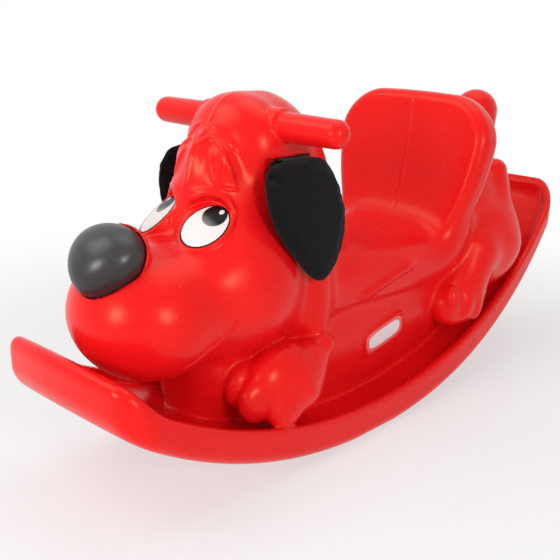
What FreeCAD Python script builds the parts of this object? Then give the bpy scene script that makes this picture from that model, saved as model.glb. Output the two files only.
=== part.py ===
"""Rocking dog: a moulded ride-on dog lying on its own curved rocker tray.

Millimetres. +Z is up, the dog looks along -Y and its left side is +X.
The origin is on the floor, at the middle of the rocker's length and width.
Every swelling form is a stack of rings, worked out by a formula from a few
hand-set rows and joined by flat facets, so its facet count is a named value.
"""
import FreeCAD, Part
import math
import os

os.makedirs("parts", exist_ok=True)
V = FreeCAD.Vector
ORIGIN = V(0, 0, 0)
X_AXIS = V(1, 0, 0)
Y_AXIS = V(0, 1, 0)
Z_AXIS = V(0, 0, 1)

# Facet counts
ring_points = 24
small_ring_points = 14
ball_rings = 7
toe_rings = 4
dome_rings = 3
tray_steps = 24
end_steps = 7
trunk_steps = 19
head_steps = 18
back_steps = 9
trunk_outline_steps = 2
ear_outline_steps = 3
grip_points = 18
corner_steps = 3

# Rocker tray
overall_length = 885.0
tray_width = 244.0
rocker_radius = 654.0
contact_offset = -45.0
land_length = 80.0
rim_height = 44.0
rim_width = 11.0
rim_edge = 3.0
floor_height = 28.0
floor_edge = 7.0
bottom_edge_radius = 14.0
front_depth = 46.0
front_power = 2.6
rear_depth = 45.0
rear_power = 3.5
rear_width = 188.0
rear_taper_start = 60.0
lip_depth = 34.0
lip_wall = 25.0
lip_rise = 17.0
lip_nose = 26.0
rear_nose = 7.0
# Shares of the rim's inner slope, and of an end's depth left before its tip
slope_foot_share = 0.3
slope_step_share = 0.5
tip_share = 0.02

# Trunk: place along the length, top height and half width
trunk_rows = (
    (-284.0, 182.0, 38.0), (-262.0, 196.0, 58.0), (-150.0, 225.0, 74.0), (-60.0, 244.0, 86.0),
    (20.0, 241.0, 93.0), (90.0, 238.0, 97.0), (150.0, 254.0, 98.0), (220.0, 280.0, 92.0),
    (300.0, 291.0, 76.0), (350.0, 280.0, 58.0), (388.0, 248.0, 30.0),
)
trunk_sink = 8.0
# Half outline across the trunk: half width and height shares
trunk_outline_shares = (
    (0.50, 0.00), (0.66, 0.14), (0.81, 0.32), (0.89, 0.47), (0.88, 0.57),
    (0.96, 0.67), (0.98, 0.77), (0.86, 0.90), (0.50, 0.985),
)

# Head and chest, level by level: height, front, back and half width
head_rows = (
    (36.0, -262.0, -52.0, 56.0),
    (95.0, -268.0, -48.0, 62.0),
    (135.0, -276.0, -46.0, 70.0),
    (170.0, -290.0, -45.0, 82.0),
    (200.0, -300.0, -44.0, 90.0),
    (235.0, -302.0, -44.0, 90.0),
    (270.0, -296.0, -44.0, 83.0),
    (305.0, -276.0, -48.0, 76.0),
    (340.0, -257.0, -57.0, 71.0),
    (370.0, -244.0, -68.0, 66.0),
    (392.0, -224.0, -80.0, 60.0),
    (412.0, -201.0, -97.0, 49.0),
    (426.0, -184.0, -116.0, 33.0),
    (433.0, -162.0, -138.0, 12.0),
)
head_power = 2.25
head_height = head_rows[-1][0]
cheek_centre = V(38, -218, 226)
cheek_radii = V(66, 86, 80)
muzzle_centre = V(0, -320, 206)
muzzle_radii = V(92, 85, 76)
brow_centre = V(23, -219, 353)
brow_radii = V(20, 23, 35)
brow_lean = 20.0

# Hand grips
grip_drop = 32.0
grip_height = head_height - grip_drop
grip_station = -166.0
grip_span = 310.0
grip_root_radius = 17.5
grip_tip_radius = 16.0
grip_collar_radius = 20.0
grip_collar_station = 60.0
grip_collar_width = 6.0
grip_bury = 35.0

# Seat back: height above its middle and half width, before it leans
back_rows = ((-118.0, 90.0), (-60.0, 104.0), (0.0, 119.0), (54.0, 126.0), (116.0, 126.0))
back_foot = V(0, 144, 300)
back_lean = 12.0
back_thickness = 48.0
back_corner_radius = 62.0
back_edge_radius = 19.0
back_power = 4.5
# Turns round the slab's top corners at which its levels lie
back_corner_turns = (18.0, 36.0, 50.0, 62.0, 72.0, 80.0, 86.0)

# Front legs and paws, given for the left side: shoulder, elbow, forearm and toes
shoulder_top = V(70, -128, 222)
shoulder_bottom = V(75, -125, 156)
shoulder_radii = (28.0, 23.0)
elbow_centre = V(89, -122, 142)
elbow_radii = V(16, 14, 14)
wrist_centre = V(87, -172, 104)
forearm_radii = (16.0, 38.0)
forepaw_centre = V(84, -190, 102)
forepaw_radii = V(37, 65, 54)
fore_toe_centres = (V(62, -234, 83), V(88, -236, 83), V(110, -210, 82))
fore_toe_radii = V(17, 27, 32)

# Hind legs, given for the left side
hip_top = V(57, 300, 286)
hip_bottom = V(78, 270, 190)
hip_radii = (21.0, 43.0)
thigh_centre = V(84, 248, 188)
thigh_radii = V(38, 66, 64)
hind_foot_centre = V(93, 170, 128)
hind_foot_radii = V(31, 66, 41)
hind_foot_tilt = 8.0
hind_toe_centres = (V(106, 129, 134), V(112, 151, 127), V(113, 174, 121))
hind_toe_radii = V(15, 12, 24)

# Tail stub
tail_root = V(0, 316, 280)
tail_tip = V(0, 326, 369)
tail_radii = (30.0, 33.0)

# Nose: an egg with a flat back on a plain stem
nose_centre = V(0, -362, 271)
nose_tilt = 20.0
nose_radii = V(44, 40, 42)
nose_flat_share = 0.55
nose_narrowing_share = 0.26
nose_droop_share = 0.22
nose_rings = 9
nose_clearance = 0.4
nose_collar_width = 3.0
nose_collar_height = 4.0
nose_collar_depth = 26.0
nose_stem_radius = 6.0
nose_stem_length = 30.0
stem_clearance = 0.3

# Eyes: a printed white disc with a dark pupil, in a shallow raised socket
eye_centre = V(40, -265, 300)
eye_facing = V(0.307, -0.547, 0.778)
eye_long_way = V(0.122, 0.834, 0.538)
eye_half_length = 31.0
eye_half_width = 24.0
eye_rim_width = 3.0
eye_rim_height = 1.4
eye_boss_depth = 30.0
sticker_thickness = 0.6
sticker_clearance = 0.4
pupil_half_length = 14.5
pupil_half_width = 14.0
pupil_offset_shares = (0.52, 0.03)
pupil_thickness = 0.4
pupil_border = 1.6
glint_half_length = 3.2
glint_half_width = 2.9
glint_offset_shares = (0.79, -0.09)

# Blank label plate on the left flank
label_centre = V(81.8, 12, 116)
label_length = 62.0
label_width = 30.0
label_power = 4.5
label_tilt = 18.0
label_lean = 12.0
label_turn = 3.0
label_thickness = 0.8
label_border = 5.0
label_pad_depth = 30.0

# Ears, given for the left side: padded cloth flaps hung from a clamped tab
ear_hinge_drop = 62.5
ear_hinge = V(82, -156, head_height - ear_hinge_drop)
ear_flare = 12.0
ear_thickness = 14.0
ear_cloth = 1.4
ear_filling_gap = 0.4
ear_stand_off = 6.0
ear_drop = 1.0
ear_middle = (-5.0, 73.0)
# Outline from the hinge line down: station and depth below it
ear_outline = (
    (-8.0, 0.0), (20.0, 0.0), (37.0, 8.0), (53.0, 30.0), (60.0, 66.0), (50.0, 104.0), (27.0, 134.0),
    (1.0, 146.0), (-26.0, 128.0), (-48.0, 98.0), (-64.0, 66.0), (-71.0, 34.0), (-58.0, 9.0), (-36.0, 0.0),
)
# Thickness share and outline share of each layer, from the cheek side out
ear_layer_shares = ((0.00, 0.90), (0.12, 0.97), (0.42, 1.00), (0.70, 0.96), (0.90, 0.84), (1.00, 0.62))
tab_station = -164.0
tab_length = 60.0
tab_height = 26.0
tab_thickness = 1.6
tab_end_gap = 0.15
strip_thickness = 2.0
strip_height = 14.0
strip_margin = 4.0
ear_seat_place = 62.5
ear_seat_margin = 3.0
screw_spacing = 36.0
screw_radius = 2.1
screw_length = 16.0
screw_head_radius = 4.2
screw_head_height = 2.4
screw_clearance = 0.2

# Moulder's vent plug under the tray
plug_station = 200.0
plug_head_radius = 9.0
plug_head_height = 1.5
plug_stem_radius = 5.0
plug_stem_length = 9.0
plug_sink = 0.8
plug_clearance = 0.2

overrun = 40.0

# The arc is lowered by the land's sag, so the flat land lies on the floor
land_sag = rocker_radius - math.sqrt(rocker_radius ** 2 - (land_length / 2) ** 2)
half_length = overall_length / 2


def rocker_height(station):
    """Height of the rocker's underside at a place along the length."""
    reach = station - contact_offset
    drop = math.sqrt(rocker_radius ** 2 - reach ** 2)
    return max(0, rocker_radius - drop - land_sag)


def spread(rows, positions):
    """Rows resampled at given positions by a smooth curve through every value."""
    result = []
    for position in positions:
        last = len(rows) - 2
        index = 0
        while index < last and position > rows[index + 1][0]:
            index += 1
        low, high = rows[index], rows[index + 1]
        before = rows[max(index - 1, 0)]
        after = rows[min(index + 2, last + 1)]
        span = high[0] - low[0]
        t = (position - low[0]) / span
        row = [position]
        for column in range(1, len(low)):
            rise = (high[column] - low[column]) / span
            slope_low = rise if before is low else (high[column] - before[column]) / (high[0] - before[0])
            slope_high = rise if after is high else (after[column] - low[column]) / (after[0] - low[0])
            row.append((2 * t ** 3 - 3 * t ** 2 + 1) * low[column] + (3 * t ** 2 - 2 * t ** 3) * high[column]
                       + span * ((t ** 3 - 2 * t ** 2 + t) * slope_low + (t ** 3 - t ** 2) * slope_high))
        result.append(row)
    return result


def evenly(first, last, steps):
    """Evenly spaced values, both ends included."""
    return [first + (last - first) * index / steps for index in range(steps + 1)]


def rounded(points, steps):
    """Closed outline made rounder: a smooth curve through every point, in steps."""
    count = len(points)
    result = []
    for index in range(count):
        a, b, c, d = (points[(index + shift) % count] for shift in (-1, 0, 1, 2))
        for step in range(steps):
            t = step / steps
            result.append((b * 2 + (c - a) * t + (a * 2 - b * 5 + c * 4 - d) * t ** 2
                           + (b * 3 - a - c * 3 + d) * t ** 3) * 0.5)
    return result


def oval(centre, along, across, half_long, half_short, count, power=2.0):
    """Ring of points on an oval; a power over 2 squares its sides."""
    points = []
    for index in range(count):
        angle = 2 * math.pi * (index + 0.5) / count
        cosine = math.cos(angle)
        sine = math.sin(angle)
        wide = math.copysign(abs(cosine) ** (2 / power), cosine)
        high = math.copysign(abs(sine) ** (2 / power), sine)
        points.append(centre + along * (half_long * wide) + across * (half_short * high))
    return points


def skin(rings, poles=False):
    """Solid over a stack of rings, its ends closed by flat caps or by poles."""
    faces = []

    def facet(*corners):
        faces.append(Part.Face(Part.makePolygon(list(corners) + [corners[0]])))

    count = len(rings[0])
    for low, high in zip(rings, rings[1:]):
        for index in range(count):
            after = (index + 1) % count
            a, b, c, d = low[index], low[after], high[after], high[index]
            normal = (b - a).cross(c - a)
            size = normal.Length
            if size > 0 and abs(normal.dot(d - a)) / size < 1e-7:
                facet(a, b, c, d)
            elif (c - a).Length < (d - b).Length:
                facet(a, b, c)
                facet(a, c, d)
            else:
                facet(a, b, d)
                facet(b, c, d)
    for ring, outward in ((rings[0], -1), (rings[-1], 1)):
        if poles:
            pole = poles[0] if outward < 0 else poles[1]
            for index in range(count):
                facet(ring[index], ring[(index + 1) % count], pole)
        else:
            facet(*ring)
    shell = Part.makeShell(faces)
    shell.sewShape()
    solid = Part.makeSolid(shell.Shells[0] if shell.ShapeType != "Shell" else shell)
    if solid.Volume < 0:
        solid.reverse()
    return solid


def ball(centre, radii, tilt=0.0, rings=ball_rings, around=ring_points):
    """Unit ball as rings along Y, scaled to three radii and tilted about X."""
    stack = []
    for index in range(rings):
        latitude = math.pi * ((index + 0.7) / (rings + 0.4) - 0.5)
        share = math.cos(latitude)
        stack.append(oval(V(0, math.sin(latitude), 0), X_AXIS, Z_AXIS, share, share, around))
    turn = FreeCAD.Rotation(X_AXIS, tilt)

    def seat(point):
        return centre + turn.multVec(V(point.x * radii.x, point.y * radii.y, point.z * radii.z))

    return skin([[seat(point) for point in ring] for ring in stack], (seat(-Y_AXIS), seat(Y_AXIS)))


def rounded_rod(start, end, start_radius, end_radius, around=ring_points):
    """Tapered rod with domed ends."""
    way = (end - start).normalize()
    across = way.cross(Y_AXIS if abs(way.y) < 0.9 else X_AXIS).normalize()
    up = way.cross(across)
    stack = []
    for index in range(dome_rings):
        angle = math.pi / 2 * (index + 0.7) / dome_rings
        stack.append(oval(start - way * (start_radius * math.cos(angle)), across, up,
                          start_radius * math.sin(angle), start_radius * math.sin(angle), around))
    for index in reversed(range(dome_rings)):
        angle = math.pi / 2 * (index + 0.7) / dome_rings
        stack.append(oval(end + way * (end_radius * math.cos(angle)), across, up,
                          end_radius * math.sin(angle), end_radius * math.sin(angle), around))
    return skin(stack, (start - way * start_radius, end + way * end_radius))


def mirrored(shape):
    """Copy on the dog's right side."""
    return shape.mirror(ORIGIN, X_AXIS)


def both_sides(shape):
    """Left shape and its right copy."""
    return [shape, mirrored(shape)]


def end_share(distance, depth, power):
    """Share of full width at a distance in from a rounded end."""
    if distance >= depth:
        return 1.0
    return (1 - (1 - distance / depth) ** power) ** (1 / power)


def tray_half_width(station):
    """Half width of the tray: a bowed front, straight sides and a tapered tail."""
    front = end_share(station + half_length, front_depth, front_power)
    rear = end_share(half_length - station, rear_depth, rear_power)
    taper = max(0, station - rear_taper_start) / (half_length - rear_taper_start)
    full = tray_width / 2 - (tray_width - rear_width) / 2 * taper ** 2
    return full * front * rear


def tray_ring(station):
    """Closed outline across the tray: underside, wall, rim and hollowed deck."""
    wide = tray_half_width(station)
    from_front = station + half_length
    from_rear = half_length - station
    bottom = rocker_height(station)
    lip = 1 - min(1, max(0, from_front - lip_depth / 2) / lip_depth)
    top = bottom + rim_height + lip_rise * lip * lip * (3 - 2 * lip)
    middle = (bottom + top) / 2
    nose = end_share(from_front, lip_nose, 2) * end_share(from_rear, rear_nose, 2)
    bottom = middle + (bottom - middle) * nose
    top = middle + (top - middle) * nose
    sunk = min(1, max(0, from_front - lip_wall) / floor_edge, max(0, from_rear - rim_width) / floor_edge)
    floor = top + (rocker_height(station) + floor_height - top) * sunk
    corner = min(bottom_edge_radius, (top - bottom) / 3, wide / 2)
    half = []
    for turn in evenly(0, 90, corner_steps):
        angle = math.radians(turn)
        half.append((wide - corner + corner * math.sin(angle), bottom + corner - corner * math.cos(angle)))
    edge = min(rim_edge, wide / 8)
    rim = min(rim_width, wide / 3)
    slope = min(floor_edge, wide / 4)
    half.append((wide, top - edge))
    half.append((wide - edge, top))
    half.append((wide - rim + edge, top))
    half.append((wide - rim, top - edge * sunk))
    half.append((wide - rim - slope * slope_foot_share, floor + slope * slope_step_share * sunk))
    half.append((wide - rim - slope, floor))
    left = [V(x, station, z) for x, z in half]
    right = [V(-point.x, point.y, point.z) for point in reversed(left)]
    return left + right


def make_tray():
    """Curved tray with its rim, its hollowed deck and the thick bowed front lip."""
    near_front = [-half_length + front_depth * (index / end_steps) ** 2 for index in range(1, end_steps)]
    near_rear = [half_length - rear_depth * (index / end_steps) ** 2
                 for index in reversed(range(1, end_steps))]
    first = -half_length + front_depth * tip_share
    last = half_length - rear_depth * tip_share
    middle = evenly(-half_length + front_depth, half_length - rear_depth, tray_steps)
    return skin([tray_ring(station) for station in [first] + near_front + middle + near_rear + [last]])


def trunk_ring(station, top, half_width):
    """Closed outline across the trunk at one place along it."""
    bottom = rocker_height(station) + floor_height - trunk_sink
    height = top - bottom
    left = [V(half_width * wide, station, bottom + height * high) for wide, high in trunk_outline_shares]
    right = [V(-point.x, point.y, point.z) for point in reversed(left)]
    return rounded([V(0, station, bottom)] + left + [V(0, station, top)] + right, trunk_outline_steps)


def make_trunk():
    """Trunk from the chest to the rump, with the saddle's skirt along its sides."""
    stations = evenly(trunk_rows[0][0], trunk_rows[-1][0], trunk_steps)
    return skin([trunk_ring(*row) for row in spread(trunk_rows, stations)])


def make_head():
    """Chest, neck and skull in one swelling column, with muzzle, cheeks and brows."""
    levels = evenly(head_rows[0][0], head_rows[-1][0], head_steps)
    rings = []
    for height, front, back, half_width in spread(head_rows, levels):
        centre = V(0, (front + back) / 2, height)
        rings.append(oval(centre, X_AXIS, Y_AXIS, half_width, (back - front) / 2, ring_points, head_power))
    column = skin(rings)
    muzzle = ball(muzzle_centre, muzzle_radii, rings=ball_rings + 3)
    brow = ball(brow_centre, brow_radii, brow_lean, around=small_ring_points)
    cheek = ball(cheek_centre, cheek_radii)
    return column.fuse([muzzle] + both_sides(brow) + both_sides(cheek))


def make_grip():
    """Left hand grip with the collar at its root."""
    root = V(grip_bury, grip_station, grip_height)
    tip = V(grip_span / 2 - grip_tip_radius, grip_station, grip_height)
    rod = rounded_rod(root, tip, grip_root_radius, grip_tip_radius, grip_points)
    rings = []
    for place, radius in ((grip_bury, grip_collar_radius), (grip_collar_station, grip_collar_radius),
                          (grip_collar_station + grip_collar_width, grip_root_radius)):
        rings.append(oval(V(place, grip_station, grip_height), Y_AXIS, Z_AXIS, radius, radius, grip_points))
    return rod.fuse(skin(rings))


def make_seat_back():
    """Leaning slab behind the seat, wide at the top with round shoulders."""
    top = back_rows[-1][0]
    low = evenly(back_rows[0][0], top - back_corner_radius, back_steps)
    high = [top - back_corner_radius + back_corner_radius * math.sin(math.radians(turn))
            for turn in back_corner_turns]
    rings = []
    for level, half_width in spread(back_rows, low + high):
        above = max(0, level - top + back_corner_radius)
        cut = back_corner_radius - math.sqrt(back_corner_radius ** 2 - above ** 2)
        edge_above = max(0, level - top + back_edge_radius)
        thin = back_edge_radius - math.sqrt(back_edge_radius ** 2 - edge_above ** 2)
        rings.append(oval(V(0, back_thickness / 2, level), X_AXIS, Y_AXIS, half_width - cut,
                          back_thickness / 2 - thin, ring_points, back_power))
    slab = skin(rings)
    slab.rotate(ORIGIN, X_AXIS, -back_lean)
    slab.translate(back_foot)
    return slab


def make_foreleg():
    """Left front leg: shoulder, forearm with its elbow, and a paw with three toes."""
    shoulder = rounded_rod(shoulder_top, shoulder_bottom, *shoulder_radii, small_ring_points)
    elbow = ball(elbow_centre, elbow_radii, around=small_ring_points)
    forearm = rounded_rod(elbow_centre, wrist_centre, *forearm_radii, grip_points)
    paw = ball(forepaw_centre, forepaw_radii)
    toes = [ball(centre, fore_toe_radii, 0, toe_rings, small_ring_points) for centre in fore_toe_centres]
    return shoulder.fuse([elbow, forearm, paw] + toes)


def make_hind_leg():
    """Left haunch with its foot and three toes."""
    hip = rounded_rod(hip_top, hip_bottom, *hip_radii)
    thigh = ball(thigh_centre, thigh_radii)
    foot = ball(hind_foot_centre, hind_foot_radii, hind_foot_tilt)
    toes = [ball(centre, hind_toe_radii, 0, toe_rings, small_ring_points) for centre in hind_toe_centres]
    return hip.fuse([thigh, foot] + toes)


def local_placement(origin, along, facing):
    """Placement whose X follows a direction and whose Z faces out of a surface."""
    z_way = V(facing).normalize()
    x_way = V(along) - z_way * V(along).dot(z_way)
    x_way.normalize()
    y_way = z_way.cross(x_way)
    return FreeCAD.Placement(FreeCAD.Matrix(
        x_way.x, y_way.x, z_way.x, origin.x,
        x_way.y, y_way.y, z_way.y, origin.y,
        x_way.z, y_way.z, z_way.z, origin.z,
        0, 0, 0, 1))


def placed(shape, placement):
    """Shape moved from its local frame to its seat."""
    copy = shape.copy()
    copy.Placement = placement
    return copy


def oval_plate(half_long, half_short, low, high, offset=(0.0, 0.0), power=2.0, around=ring_points):
    """Oval plate between two heights of a local frame."""
    return skin([oval(V(offset[0], offset[1], level), X_AXIS, Y_AXIS, half_long, half_short, around, power)
                 for level in (low, high)])


def round_bar(start, end, radius, around=small_ring_points):
    """Plain round bar between two points."""
    way = (end - start).normalize()
    across = way.cross(Y_AXIS if abs(way.y) < abs(way.x) + abs(way.z) else X_AXIS).normalize()
    up = way.cross(across)
    return skin([oval(place, across, up, radius, radius, around) for place in (start, end)])


# The nose's frame: Z points forward out of the muzzle, X to the dog's left
nose_angle = math.radians(nose_tilt)
nose_placement = local_placement(nose_centre, X_AXIS, V(0, -math.cos(nose_angle), math.sin(nose_angle)))
nose_back = -nose_radii.y * nose_flat_share


def nose_ring(level, section, grow=0.0):
    """Outline of the nose at one level, sized as at another level, its foot narrow and forward."""
    share = math.sqrt(1 - (section / nose_radii.y) ** 2)
    ring = oval(V(0, 0, level), X_AXIS, Y_AXIS, nose_radii.x * share + grow, nose_radii.z * share + grow,
                ring_points)
    narrowing = nose_narrowing_share / nose_radii.z
    return [V(point.x * (1 + narrowing * point.y), point.y, point.z - nose_droop_share * point.y)
            for point in ring]


def make_nose():
    """Egg-shaped nose with its flat back and its stem."""
    levels = [nose_radii.y * math.sin(turn)
              for turn in evenly(-math.asin(nose_flat_share), math.pi / 2, nose_rings)]
    rings = [nose_ring(level, level) for level in levels[:-1]]
    body = skin(rings, (V(0, 0, nose_back), V(0, 0, nose_radii.y)))
    stem = round_bar(V(0, 0, nose_back - nose_stem_length), V(0, 0, nose_back + nose_stem_radius),
                     nose_stem_radius)
    return placed(body.fuse(stem), nose_placement)


def make_nose_collar():
    """Raised collar of the muzzle round the foot of the nose."""
    grow = nose_clearance + nose_collar_width
    levels = (nose_back - nose_collar_depth, nose_back + nose_collar_height)
    return placed(skin([nose_ring(level, nose_back, grow) for level in levels]), nose_placement)


def make_nose_seat():
    """Room for the nose and its stem."""
    levels = [nose_radii.y * math.sin(turn) for turn in evenly(-math.asin(nose_flat_share), 0, 2)]
    levels.append(nose_radii.y + overrun)
    sections = levels[:-1] + [0]
    room = skin([nose_ring(level, section, nose_clearance) for level, section in zip(levels, sections)])
    bore = round_bar(V(0, 0, nose_back - nose_stem_length - stem_clearance), V(0, 0, nose_back + overrun),
                     nose_stem_radius + stem_clearance)
    return placed(room.fuse(bore), nose_placement)


eye_placement = local_placement(eye_centre, eye_long_way, eye_facing)


def make_eye_boss():
    """Raised rim round the eye."""
    return placed(oval_plate(eye_half_length + eye_rim_width, eye_half_width + eye_rim_width,
                             -eye_boss_depth, eye_rim_height), eye_placement)


def make_eye_socket():
    """Room in front of the printed disc."""
    return placed(oval_plate(eye_half_length + sticker_clearance, eye_half_width + sticker_clearance,
                             0, overrun), eye_placement)


def make_eye_white():
    """Printed white disc."""
    return placed(oval_plate(eye_half_length, eye_half_width, 0, sticker_thickness), eye_placement)


def make_pupil():
    """Dark pupil on the white disc, cut off by its border, with a glint left open."""
    top = sticker_thickness + pupil_thickness
    centre = (eye_half_length * pupil_offset_shares[0], eye_half_width * pupil_offset_shares[1])
    gleam = (eye_half_length * glint_offset_shares[0], eye_half_width * glint_offset_shares[1])
    pupil = oval_plate(pupil_half_length, pupil_half_width, sticker_thickness, top, centre)
    border = oval_plate(eye_half_length - pupil_border, eye_half_width - pupil_border, 0, overrun)
    glint = oval_plate(glint_half_length, glint_half_width, 0, overrun, gleam, around=small_ring_points)
    return placed(pupil.common(border).cut(glint), eye_placement)


# The label's frame: Z faces out of the flank, X rises towards the tail
label_slope = math.radians(label_tilt)
label_turned = FreeCAD.Rotation(Z_AXIS, -label_turn).multVec(X_AXIS)
label_facing = FreeCAD.Rotation(Y_AXIS, label_lean).multVec(label_turned)
label_rise = V(0, math.cos(label_slope), math.sin(label_slope))
label_placement = local_placement(label_centre, label_rise, label_facing)


def make_label(grow, low, high):
    """Soft-cornered plate in the label's frame."""
    return placed(oval_plate(label_length / 2 + grow, label_width / 2 + grow, low, high,
                             power=label_power), label_placement)


# The ear's frame: X along the dog, Y down the ear, Z out of the cheek
ear_angle = math.radians(ear_flare)
ear_placement = local_placement(ear_hinge, Y_AXIS, V(math.cos(ear_angle), 0, math.sin(ear_angle)))
ear_down = -1 if ear_placement.Rotation.multVec(Y_AXIS).z > 0 else 1


def make_ear(inset):
    """Padded ear, drawn in on all sides by a wall thickness."""
    outline = rounded([V(place, depth, 0) for place, depth in ear_outline], ear_outline_steps)
    middle = V(ear_middle[0], ear_middle[1], 0)
    shrink = 1 - inset / (tab_length)
    rings = []
    for level_share, outline_share in ear_layer_shares:
        level = inset + (ear_thickness - 2 * inset) * level_share - ear_stand_off
        ring = []
        for point in outline:
            spot = middle + (point - middle) * (outline_share * shrink)
            ring.append(V(spot.x, (spot.y + ear_drop) * ear_down, level))
        rings.append(ring)
    return placed(skin(rings), ear_placement)


def box(low, high):
    """Box between two corners."""
    size = high - low
    return Part.makeBox(size.x, size.y, size.z, low)


tab_top = ear_hinge.z + tab_end_gap + tab_thickness
tab_bottom = tab_top - tab_height
tab_ends = (tab_station - tab_length / 2, tab_station + tab_length / 2)
tab_face = ear_seat_place + tab_thickness
strip_face = tab_face + strip_thickness
strip_middle = tab_bottom + strip_margin + strip_height / 2
screw_stations = (tab_station - screw_spacing / 2, tab_station + screw_spacing / 2)


def screw_holes(radius):
    """Holes for the two screws of one ear."""
    end = strip_face - screw_length - screw_clearance
    return [round_bar(V(end, station, strip_middle), V(strip_face + overrun, station, strip_middle), radius)
            for station in screw_stations]


def make_ear_seat():
    """Flat cut in the head for the tab, with its screw holes."""
    margin = ear_seat_margin
    room = box(V(ear_seat_place, tab_ends[0] - margin, tab_bottom - margin),
               V(ear_seat_place + overrun, tab_ends[1] + margin, tab_top + margin))
    return room.fuse(screw_holes(screw_radius + screw_clearance))


def make_tab():
    """Cloth tab: flat on its seat, then folded out to the top of the ear."""
    upright = box(V(ear_seat_place, tab_ends[0], tab_bottom), V(tab_face, tab_ends[1], tab_top))
    fold = box(V(ear_seat_place, tab_ends[0], tab_top - tab_thickness),
               V(ear_hinge.x - tab_end_gap, tab_ends[1], tab_top))
    return upright.fuse(fold).removeSplitter().cut(screw_holes(screw_radius + screw_clearance))


def make_strip():
    """Clamping strip over the tab."""
    half = strip_height / 2
    strip = box(V(tab_face, tab_ends[0] + strip_margin, strip_middle - half),
                V(strip_face, tab_ends[1] - strip_margin, strip_middle + half))
    return strip.cut(screw_holes(screw_radius + screw_clearance))


def make_ear_screws():
    """Two pan-head screws of one ear."""
    screws = []
    for station in screw_stations:
        seat = V(strip_face, station, strip_middle)
        shank = round_bar(seat - X_AXIS * screw_length, seat, screw_radius)
        head = round_bar(seat, seat + X_AXIS * screw_head_height, screw_head_radius)
        screws.append(shank.fuse(head))
    return Part.makeCompound(screws)


# The plug's frame: Z faces out of the tray's underside
plug_reach = plug_station - contact_offset
plug_placement = local_placement(
    V(0, plug_station, rocker_height(plug_station)), X_AXIS,
    V(0, plug_reach, -math.sqrt(rocker_radius ** 2 - plug_reach ** 2)))


def make_plug(grow):
    """Vent plug, or the room for it when grown by a clearance."""
    shoulder = -plug_sink - plug_head_height
    head = round_bar(V(0, 0, shoulder), V(0, 0, overrun if grow else -plug_sink), plug_head_radius + grow)
    stem = round_bar(V(0, 0, shoulder - plug_stem_length - grow), V(0, 0, shoulder), plug_stem_radius + grow)
    return placed(head.fuse(stem), plug_placement)


def make_body():
    """The one hollow moulding: tray, dog, grips and seat back in one piece."""
    forms = [make_trunk(), make_head(), make_seat_back(), rounded_rod(tail_root, tail_tip, *tail_radii),
             make_nose_collar(), make_label(label_border, -label_pad_depth, 0)]
    for form in (make_grip(), make_foreleg(), make_hind_leg(), make_eye_boss()):
        forms += both_sides(form)
    rooms = [make_nose_seat(), make_plug(plug_clearance)]
    for room in (make_eye_socket(), make_ear_seat()):
        rooms += both_sides(room)
    return make_tray().fuse(forms).cut(rooms)


cover = make_ear(0).cut(make_ear(ear_cloth))
left_pieces = {
    "eye_white": make_eye_white(),
    "pupil": make_pupil(),
    "ear_cover": cover,
    "ear_filling": make_ear(ear_cloth + ear_filling_gap),
    "ear_tab": make_tab(),
    "ear_strip": make_strip(),
    "ear_screws": make_ear_screws(),
}
pieces = {
    "body_shell": make_body(),
    "nose_cap": make_nose(),
    "label_left": make_label(0, 0, label_thickness),
    "vent_plug": make_plug(0),
}
for name, shape in left_pieces.items():
    pieces[name + "_left"] = shape
    pieces[name + "_right"] = mirrored(shape)
for name, shape in pieces.items():
    shape.exportStep("parts/" + name + ".step")
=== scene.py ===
import math
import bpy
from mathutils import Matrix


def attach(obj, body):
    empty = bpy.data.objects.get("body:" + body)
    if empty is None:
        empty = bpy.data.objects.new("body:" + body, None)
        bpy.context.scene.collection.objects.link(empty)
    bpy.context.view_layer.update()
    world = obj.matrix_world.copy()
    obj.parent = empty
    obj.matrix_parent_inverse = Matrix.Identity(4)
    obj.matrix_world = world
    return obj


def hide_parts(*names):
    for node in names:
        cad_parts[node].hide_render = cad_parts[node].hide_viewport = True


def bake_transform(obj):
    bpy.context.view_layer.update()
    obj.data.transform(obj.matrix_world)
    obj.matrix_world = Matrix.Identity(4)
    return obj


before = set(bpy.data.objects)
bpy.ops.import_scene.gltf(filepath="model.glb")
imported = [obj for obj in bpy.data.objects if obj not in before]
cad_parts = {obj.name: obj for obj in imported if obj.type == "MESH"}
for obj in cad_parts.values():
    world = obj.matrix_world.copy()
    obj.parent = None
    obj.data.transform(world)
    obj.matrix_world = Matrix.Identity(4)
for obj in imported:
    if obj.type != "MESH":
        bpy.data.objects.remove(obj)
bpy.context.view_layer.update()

from concurrent.futures import ThreadPoolExecutor

import bmesh
import bpy
import numpy as np
import openvdb
from mathutils import Matrix, Vector
from mathutils.bvhtree import BVHTree

MM = 0.001
TINY = 1e-9
X_AXIS = np.array([1.0, 0, 0])

# The red moulding is the zero surface of a distance field, negative inside, in millimetres.
# The dog faces -Y. What it has on both sides is worked out on its left, with x taken as positive.


def smin(a, b, k):
    """Nearer of two distances, blended over the width k."""
    h = np.maximum(k - np.abs(a - b), 0) / k
    return np.minimum(a, b) - h * h * h * k / 6


def smax(a, b, k):
    """Farther of two distances, blended over the width k."""
    return -smin(-a, -b, k)


def rmax(a, b, r):
    """Farther of two distances, with the edge rounded to the radius r."""
    u, v = np.maximum(a + r, 0), np.maximum(b + r, 0)
    return np.sqrt(u * u + v * v) - r + np.minimum(np.maximum(a + r, b + r), 0)


def unit(*v):
    return np.array(v, float) / np.linalg.norm(v)


def axes(p):
    return p[..., 0], p[..., 1], p[..., 2]


def turn_x(degrees):
    """Matrix of a turn about the X axis."""
    c, s = np.cos(np.radians(degrees)), np.sin(np.radians(degrees))
    return np.array([[1, 0, 0], [0, c, -s], [0, s, c]])


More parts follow.
